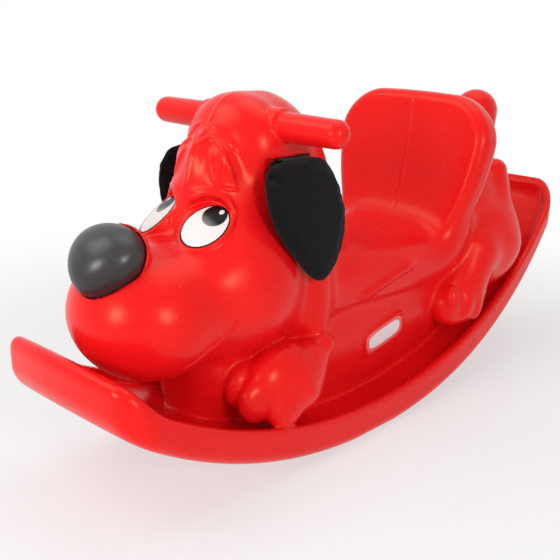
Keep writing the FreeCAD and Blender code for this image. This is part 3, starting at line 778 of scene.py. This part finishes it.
def make_nose():
    """Egg with a flat back."""
    around, back_shares, dome_rings = 72, [0.2, 0.5, 0.8, 0.95], 33
    start = -math.asin(NOSE_BACK)
    dome = np.linspace(start, math.pi / 2, dome_rings + 1)[:-1]
    lift = np.concatenate([np.full(len(back_shares), start), dome])
    draw = np.concatenate([back_shares, np.ones(dome_rings)])
    turn = np.linspace(0, 2 * math.pi, around, endpoint=False)
    rings = []
    for angle, share in zip(lift, draw):
        up = NOSE_RADII[2] * math.cos(angle) * share * np.sin(turn)
        side = NOSE_RADII[0] * math.cos(angle) * share * np.cos(turn) * (1 + NOSE_NARROWING * up)
        out = NOSE_RADII[1] * math.sin(angle) - NOSE_LEAN * up
        rings.append(NOSE + side[:, None] * X_AXIS + up[:, None] * NOSE_UP + out[:, None] * NOSE_OUT)
    tip, back = NOSE + NOSE_RADII[1] * NOSE_OUT, NOSE - NOSE_RADII[1] * NOSE_BACK * NOSE_OUT
    points = np.concatenate(rings + [[tip], [back]])
    faces = []
    for ring in range(len(rings) - 1):
        faces += band(ring * around, (ring + 1) * around, around)
    faces += fan(len(points) - 2, (len(rings) - 1) * around, around)
    faces += fan(len(points) - 1, 0, around)
    piece = new_mesh("nose_dome", points, faces)
    outward(piece)
    return piece


nose_dome = make_nose()
paint(nose_dome, NOSE_BLACK)
finish_piece(nose_dome, "nose_black", "dog", "nose_cap")


# The printed eyes: half sizes and places in the eye's plane, and heights over it

WHITE_SIZE, WHITE_HEIGHT = (31.4, 24.4), 0.3
OUTLINE_AND_SHADE_FROM = 0.953  # share of the white at which its dark outline begins: a printed line and painted shade of the recess's wall
PUPIL_SIZE, PUPIL_PLACE, PUPIL_LIMIT, PUPIL_HEIGHT = (14.5, 14.0), (16.1, 0.7), (29.6, 22.6), 0.65
GLINT_SIZE, GLINT_PLACE, GLINT_HEIGHT = (3.3, 2.9), (24.5, -2.2), 0.9
PRINT_CROWN, PRINT_THICKNESS = 1.4, 0.45


def printed_oval(name, side, size, centre, height, limit=None):
    """Slightly crowned disc in the eye's plane, kept inside the limit's oval, on one side of the head."""
    rings, around = 17, 96
    spots, faces = [(0.0, 0.0)], fan(0, 1, around)
    for ring in range(1, rings + 1):
        for i in range(around):
            angle = 2 * math.pi * i / around
            spots.append((ring / rings * math.cos(angle), ring / rings * math.sin(angle)))
    for ring in range(rings - 1):
        faces += band(1 + ring * around, 1 + (ring + 1) * around, around)
    flat = np.array(spots) * size + centre
    if limit:
        inside = np.hypot(flat[:, 0] / limit[0], flat[:, 1] / limit[1])
        flat = flat / np.maximum(inside, 1)[:, None]
    crown = PRINT_CROWN * (1 - np.minimum((flat[:, 0] / 31) ** 2 + (flat[:, 1] / 24) ** 2, 1))
    points = EYE + flat[:, :1] * EYE_LONG + flat[:, 1:] * EYE_UP + (crown + height)[:, None] * EYE_OUT
    if side < 0:
        points[:, 0] *= -1
        faces = [tuple(reversed(corners)) for corners in faces]
    piece = new_mesh(name, points, faces)
    modify(piece, "SOLIDIFY", thickness=PRINT_THICKNESS * MM, offset=-1)
    return piece


def on_outline_and_shade(middles):
    """Where a face of the white lies in its dark outline, a printed line and painted shade of the recess's
    wall.
    """
    q = left_half(middles)
    along, up = (q - EYE) @ EYE_LONG, (q - EYE) @ EYE_UP
    return np.hypot(along / WHITE_SIZE[0], up / WHITE_SIZE[1]) > OUTLINE_AND_SHADE_FROM


for side, word in ((1, "left"), (-1, "right")):
    white = printed_oval(f"eye_{word}_white", side, WHITE_SIZE, (0, 0), WHITE_HEIGHT)
    # The white's outer ring gets the dark red: printed outline and painted shade of the recess.
    paint(white, WHITE, EYE_OUTLINE_AND_SHADE)
    second_material(white, on_outline_and_shade)
    finish_piece(white, "eye_white", "dog", f"eye_white_{word}")
    dark = printed_oval(f"eye_{word}_pupil", side, PUPIL_SIZE, PUPIL_PLACE, PUPIL_HEIGHT, PUPIL_LIMIT)
    paint(dark, PUPIL)
    finish_piece(dark, "pupil_dark", "dog", f"pupil_{word}")
    glint = printed_oval(f"eye_{word}_glint", side, GLINT_SIZE, GLINT_PLACE, GLINT_HEIGHT)
    paint(glint, WHITE)
    finish_piece(glint, "eye_white", "dog")


# The blank label

LABEL_HALF_LENGTH, LABEL_HALF_HEIGHT = 34, 17
LABEL_CORNERS = 3.4  # power of the outline's superellipse
# Rings from the middle out: share of the way to the edge, height over the label's plane
LABEL_PROFILE = ((0.0, 0.9), (0.5, 0.9), (0.72, 0.9), (0.74, 1.25), (0.96, 1.25), (1.0, 0.9), (1.0, -0.1))
LABEL_BORDER_FROM = 1.0  # height above which the border's colour begins


def make_label():
    """Soft-cornered plate with a thin raised border."""
    around = 96
    turn = np.linspace(0, 2 * math.pi, around, endpoint=False)
    long = np.sign(np.cos(turn)) * np.abs(np.cos(turn)) ** (2 / LABEL_CORNERS)
    high = np.sign(np.sin(turn)) * np.abs(np.sin(turn)) ** (2 / LABEL_CORNERS)
    points, faces = [LABEL + LABEL_PROFILE[0][1] * LABEL_OUT], fan(0, 1, around)
    for share, height in LABEL_PROFILE[1:]:
        inset = (1 - share) * LABEL_HALF_HEIGHT
        for u, v in zip(long, high):
            points.append(LABEL + u * (LABEL_HALF_LENGTH - inset) * LABEL_ALONG
                          + v * (LABEL_HALF_HEIGHT - inset) * LABEL_UP + height * LABEL_OUT)
    last = len(points) - around
    for first in range(1, last, around):
        faces += band(first, first + around, around)
    faces.append(list(range(last, last + around)))
    piece = new_mesh("label_plate", points, faces, False)
    outward(piece)
    return piece


label = make_label()
paint(label, LABEL_WHITE, LABEL_EDGE)
second_material(label, lambda middles: (middles - LABEL) @ LABEL_OUT > LABEL_BORDER_FROM)
finish_piece(label, "label_white", "dog", "label_left")


# The padded ears

HINGE = np.array([82.0, -156.0, 370.5])
EAR_TILT = math.radians(12)
EAR_OUT = np.array([math.cos(EAR_TILT), 0, math.sin(EAR_TILT)])
EAR_DOWN = np.array([math.sin(EAR_TILT), 0, -math.cos(EAR_TILT)])
EAR_DROP, EAR_LEVEL = 1.0, 1.0  # of the pad's upper edge and of its middle, from the hinge
EAR_MIDDLE = np.array([-5.0, 73.0])
EAR_OUTLINE = ((-8, 0), (20, 0), (37, 8), (53, 30), (60, 66), (50, 104), (27, 134),
               (1, 146), (-26, 128), (-48, 98), (-64, 66), (-70, 34), (-61, 8), (-40, 0))
PAD_SHARES = (0.0, 0.25, 0.5, 0.7, 0.84, 0.93, 0.98, 1.0)
PAD_SIZE = 0.975  # of the outline, before it is filled
PAD_EDGE, PAD_CROWN = 1.6, 3.9  # half thickness at the seam, and more of it in the middle
PAD_VOXEL = 3.2
FILLING_PRESSURE, FILLING_STEPS, FILLING_LIMIT = 4.0, 20, 4.0
PIPING_RADIUS = 1.3
STITCH_RADIUS, STITCH_SPACING, STITCH_SHARE = 0.34, 4.2, 0.87
# Points of one stitch: place along the row and height over the cloth
STITCH_PLACES, STITCH_HEIGHTS = np.array([0, 0.9, 1.8, 2.7]), np.array([-0.25, 0.1, 0.1, -0.25])


def ear_place(spots, level):
    """Points of the ear from station, depth and level."""
    spots = np.asarray(spots, float)
    return (HINGE + spots[:, :1] * np.array([0, 1.0, 0]) + (spots[:, 1:] + EAR_DROP) * EAR_DOWN
            + np.reshape(level, (-1, 1)) * EAR_OUT)


def ear_curve(steps):
    """Smooth closed outline through the ear's points, with so many steps between two of them."""
    knots = np.array(EAR_OUTLINE, float)
    result = []
    for i in range(len(knots)):
        a, b, c, d = (knots[(i + s) % len(knots)] for s in (-1, 0, 1, 2))
        for step in range(steps):
            t = step / steps
            result.append(0.5 * (2 * b + (c - a) * t + (2 * a - 5 * b + 4 * c - d) * t ** 2
                                 + (3 * b - a - 3 * c + d) * t ** 3))
    return np.array(result)


def fill(pad):
    """Pad swollen by a cloth simulation with pressure inside, each point moved up to the limit."""
    start = np.array([v.co[:] for v in pad.data.vertices])
    settings = pad.modifiers.new("cloth", "CLOTH").settings
    settings.use_pressure = True
    settings.uniform_pressure_force = FILLING_PRESSURE
    settings.effector_weights.gravity = 0
    settings.mass = 0.3
    scene = bpy.context.scene
    for step in range(1, FILLING_STEPS + 1):
        scene.frame_set(step)
    apply(pad)
    scene.frame_set(1)
    shift = np.array([v.co[:] for v in pad.data.vertices]) - start
    length = np.linalg.norm(shift, axis=1, keepdims=True)
    shift *= np.minimum(1, FILLING_LIMIT * MM / np.maximum(length, TINY))
    pad.data.vertices.foreach_set("co", (start + shift).ravel())
    pad.data.update()


def make_pad():
    """Stuffed ear: two crowned cloth faces that meet at a seam."""
    outline = ear_curve(8)
    around = len(outline)
    blocks, faces, seam, at = [], [], [], 0
    for sign in (1, -1):
        firsts = []
        for share in PAD_SHARES:
            spots = EAR_MIDDLE + (outline - EAR_MIDDLE) * share * PAD_SIZE if share else EAR_MIDDLE[None]
            level = EAR_LEVEL + sign * (PAD_EDGE + PAD_CROWN * math.sqrt(1 - share ** 5))
            blocks.append(ear_place(spots, level))
            firsts.append(at)
            at += len(spots)
        side = fan(firsts[0], firsts[1], around)
        for inner, outer in zip(firsts[1:], firsts[2:]):
            side += band(inner, outer, around)
        faces += side if sign > 0 else [tuple(reversed(corners)) for corners in side]
        seam.append(firsts[-1])
    faces += band(*seam, around)
    pad = new_mesh("ear_left_pad", np.concatenate(blocks), faces)
    outward(pad)
    modify(pad, "REMESH", mode="VOXEL", voxel_size=PAD_VOXEL * MM)
    outward(pad)
    fill(pad)
    modify(pad, "SUBSURF", levels=1, render_levels=1)
    shade_smooth(pad.data)
    return pad


def tube(name, line, radius, around=10, closed=True):
    """Round cord along a line of points in millimetres."""
    line = np.asarray(line, float)
    count = len(line)
    ahead = np.roll(line, -1, 0) - np.roll(line, 1, 0) if closed else np.gradient(line, axis=0)
    ahead /= np.linalg.norm(ahead, axis=1, keepdims=True)
    side = np.cross(ahead, EAR_OUT)
    side /= np.linalg.norm(side, axis=1, keepdims=True)
    up = np.cross(side, ahead)
    turn = np.linspace(0, 2 * math.pi, around, endpoint=False)
    points = (line[:, None] + radius * (np.cos(turn)[None, :, None] * side[:, None]
                                        + np.sin(turn)[None, :, None] * up[:, None])).reshape(-1, 3)
    faces = []
    for ring in range(count if closed else count - 1):
        faces += band(ring * around, (ring + 1) % count * around, around)
    if not closed:
        faces.append(list(range(around)))
        faces.append([(count - 1) * around + i for i in reversed(range(around))])
    piece = new_mesh(name, points, faces)
    outward(piece)
    return piece


def joined(name, pieces):
    """One mesh from several."""
    bm = bmesh.new()
    for piece in pieces:
        bm.from_mesh(piece.data)
        bpy.data.objects.remove(piece)
    mesh = bpy.data.meshes.new(name)
    bm.to_mesh(mesh)
    bm.free()
    shade_smooth(mesh)
    return new_piece(name, mesh)


def mirrored(piece):
    """Copy on the dog's right side."""
    mesh = piece.data.copy()
    mesh.transform(Matrix.Scale(-1, 4, (1, 0, 0)))
    mesh.flip_normals()
    return new_piece(piece.name.replace("left", "right"), mesh)


def relaxed(line):
    """Closed line with each point drawn towards its neighbours."""
    for _ in range(3):
        line = (np.roll(line, 1, 0) + 2 * line + np.roll(line, -1, 0)) / 4
    return line


def make_seams(pad):
    """Piping round the pad's edge, and a row of stitches inside it."""
    tree = BVHTree.FromObject(pad, bpy.context.evaluated_depsgraph_get())

    def hit(start, way):
        return np.array(tree.ray_cast(Vector(start * MM), way)[0]) / MM

    middle = ear_place(EAR_MIDDLE[None], EAR_LEVEL)[0]
    edge, row = [], []
    for spot in ear_curve(12):
        way = (spot - EAR_MIDDLE) / np.linalg.norm(spot - EAR_MIDDLE)
        beside = ear_place((spot + way * 20)[None], EAR_LEVEL)[0]
        edge.append(hit(beside, Vector(middle - beside).normalized()))
        above = ear_place((EAR_MIDDLE + (spot - EAR_MIDDLE) * STITCH_SHARE)[None], 40.0)[0]
        row.append(hit(above, Vector(-EAR_OUT)))
    edge, row = relaxed(np.array(edge)), relaxed(np.array(row))
    length = np.linalg.norm(np.roll(row, -1, 0) - row, axis=1)
    reach = np.concatenate([[0], np.cumsum(length)])
    loop = np.vstack([row, row[:1]])
    count = int(reach[-1] / STITCH_SPACING)
    stitches = []
    for number in range(count):
        places = (reach[-1] * number / count + STITCH_PLACES) % reach[-1]
        line = np.stack([np.interp(places, reach, loop[:, k]) for k in range(3)], -1)
        line = line + STITCH_HEIGHTS[:, None] * EAR_OUT
        stitches.append(tube("dash", line, STITCH_RADIUS, 6, False))
    return tube("ear_left_seam", edge, PIPING_RADIUS), joined("ear_left_stitching", stitches)


# The cloth tabs that hold the ears: x and z from under the strip, over the seat's top and into the seam

TAB_LINE = ((63.3, 345.2), (63.3, 352.0), (63.3, 358.5), (63.3, 364.2), (63.9, 365.4), (65.4, 366.0),
            (68.0, 366.1), (71.5, 366.1), (75.0, 366.0), (78.5, 365.8), (81.0, 365.2), (83.0, 364.2),
            (84.4, 362.6))
TAB_HALF_WIDTH, TAB_THICKNESS = 30, 1.3
TAB_END_Y, TAB_END_SHARE = -160, 0.72  # middle and share of the width towards the ear


def make_tab():
    """Cloth strip, flat on its seat and narrowed towards the ear."""
    line = np.array(TAB_LINE)
    columns = 31
    stations = np.linspace(-TAB_HALF_WIDTH, TAB_HALF_WIDTH, columns)
    narrow = np.interp(np.arange(len(line)), (1, 3), (1.0, TAB_END_SHARE))
    points = np.array([(x, TAB_END_Y + y * share, z)
                       for (x, z), share in zip(line, narrow) for y in stations])
    faces = [(first + c, first + c + 1, first + columns + c + 1, first + columns + c)
             for first in range(0, len(points) - columns, columns) for c in range(columns - 1)]
    tab = new_mesh("ear_left_tab_cloth", points, faces)
    modify(tab, "SOLIDIFY", thickness=TAB_THICKNESS * MM, offset=0)
    outward(tab)
    shade_smooth(tab.data)
    return tab


pad_left = make_pad()
left_pieces = (pad_left, *make_seams(pad_left), make_tab())
for turn, word in ((1, "left"), (-1, "right")):
    pad, piping, stitching, tab = left_pieces if turn > 0 else [mirrored(piece) for piece in left_pieces]
    paint(pad, CLOTH)
    finish_piece(pad, "ear_cloth", f"ear_{word}", f"ear_cover_{word}", f"ear_filling_{word}")
    for trim in (piping, stitching):
        paint(trim, THREAD)
        finish_piece(trim, "ear_cloth", f"ear_{word}")
    paint(tab, CLOTH)
    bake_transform(tab)
    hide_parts(f"ear_tab_{word}")


# The carried-over CAD nodes


def dress(name, material):
    """Material of a node that is shown as it is."""
    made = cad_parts[name]
    for slot in made.material_slots:
        slot.material = material
    if not made.material_slots:
        made.data.materials.append(material)


for word in ("left", "right"):
    dress(f"ear_strip_{word}", STRIP)
    dress(f"ear_screws_{word}", STEEL)
dress("vent_plug", PLUG)


# Floor, camera and light

AZIMUTH, ELEVATION, ROLL = (math.radians(value) for value in (43.9, 18.0, 0.51))
TARGET, DISTANCE = Vector((0, -0.105, 0.193)), 1.155
PHOTO_FOCAL, PHOTO_WIDTH = 905, 560  # in the photo's pixels
SENSOR = 36
BACK = Vector((math.sin(AZIMUTH) * math.cos(ELEVATION), -math.cos(AZIMUTH) * math.cos(ELEVATION),
               math.sin(ELEVATION)))
RIGHT = Vector((math.cos(AZIMUTH), math.sin(AZIMUTH), 0))
UP = BACK.cross(RIGHT)
WORLD_GLOW = 0.36


def make_floor():
    """Pale floor with the dog's shadow near it, plain white to the eye farther off."""
    bpy.ops.mesh.primitive_grid_add(x_subdivisions=4, y_subdivisions=4, size=40, location=(0, 0, 0))
    floor = bpy.context.object
    floor.name = "floor"
    material, tree, shader = nodes_of("floor_pale")
    shader.inputs["Roughness"].default_value = 0.7
    shader.inputs["Specular IOR Level"].default_value = 0.2
    pale = ramp(tree, noise(tree, 3, 2), ((0.3, (0.80, 0.80, 0.80)), (0.7, (0.82, 0.82, 0.82))))
    tree.links.new(pale, shader.inputs["Base Color"])
    place = node(tree, "ShaderNodeTexCoord")
    far = node(tree, "ShaderNodeVectorMath", operation="LENGTH")
    tree.links.new(place.outputs["Object"], far.inputs[0])
    spread = node(tree, "ShaderNodeMapRange",
                  {"From Min": 0.45, "From Max": 1.1, "To Min": 0.55, "To Max": 1.0},
                  interpolation_type="SMOOTHSTEP")
    tree.links.new(far.outputs["Value"], spread.inputs["Value"])
    share = calc(tree, "MULTIPLY", seen_share(tree), spread.outputs["Result"])
    glow = node(tree, "ShaderNodeEmission", {"Color": (1, 1, 1, 1), "Strength": 1.0})
    mix_shaders(tree, share, shader.outputs[0], glow.outputs[0], "Material Output")
    floor.data.materials.append(material)


def make_camera():
    camera = new_piece("camera", bpy.data.cameras.new("camera"))
    camera.data.lens = PHOTO_FOCAL / PHOTO_WIDTH * SENSOR
    camera.data.sensor_width = SENSOR
    camera.data.sensor_fit = "HORIZONTAL"
    camera.data.clip_end = 100
    lens_right = RIGHT * math.cos(ROLL) + UP * math.sin(ROLL)
    lens_up = UP * math.cos(ROLL) - RIGHT * math.sin(ROLL)
    placed = Matrix((lens_right, lens_up, BACK)).transposed().to_4x4()
    placed.translation = TARGET + BACK * DISTANCE
    camera.matrix_world = placed
    bpy.context.scene.camera = camera


def lamp(name, side, up, toward, distance, size, power):
    """Soft rectangular lamp placed as seen by the camera, aimed at the dog."""
    data = bpy.data.lights.new(name, "AREA")
    data.shape = "RECTANGLE"
    data.size, data.size_y = size
    data.energy = power
    made = new_piece(name, data)
    ahead = Vector((BACK.x, BACK.y, 0)).normalized()
    way = (RIGHT * side + Vector((0, 0, 1)) * up + ahead * toward).normalized()
    made.location = TARGET + way * distance
    made.rotation_euler = way.to_track_quat("Z", "Y").to_euler()


def make_world():
    """White to the eye and in reflections, a soft glow as a light."""
    world = bpy.data.worlds.new("world")
    bpy.context.scene.world = world
    world.use_nodes = True
    tree = world.node_tree
    soft = tree.nodes["Background"]
    soft.inputs["Color"].default_value = (1, 1, 1, 1)
    soft.inputs["Strength"].default_value = WORLD_GLOW
    bright = node(tree, "ShaderNodeBackground", {"Color": (1, 1, 1, 1), "Strength": 1.0})
    mix_shaders(tree, seen_share(tree), soft.outputs[0], bright.outputs[0], "World Output")


make_floor()
make_camera()
lamp("key", -0.75, 1.0, 0.10, 2.6, (1.6, 1.4), 20)
lamp("left", -0.78, 0.34, 0.85, 2.4, (0.42, 0.72), 20)
lamp("right", 0.40, 0.34, 0.85, 2.4, (0.42, 0.72), 19)
lamp("top", 0.15, 1.0, -0.15, 2.4, (1.8, 1.4), 13)
make_world()
bpy.context.scene.view_settings.view_transform = "Standard"
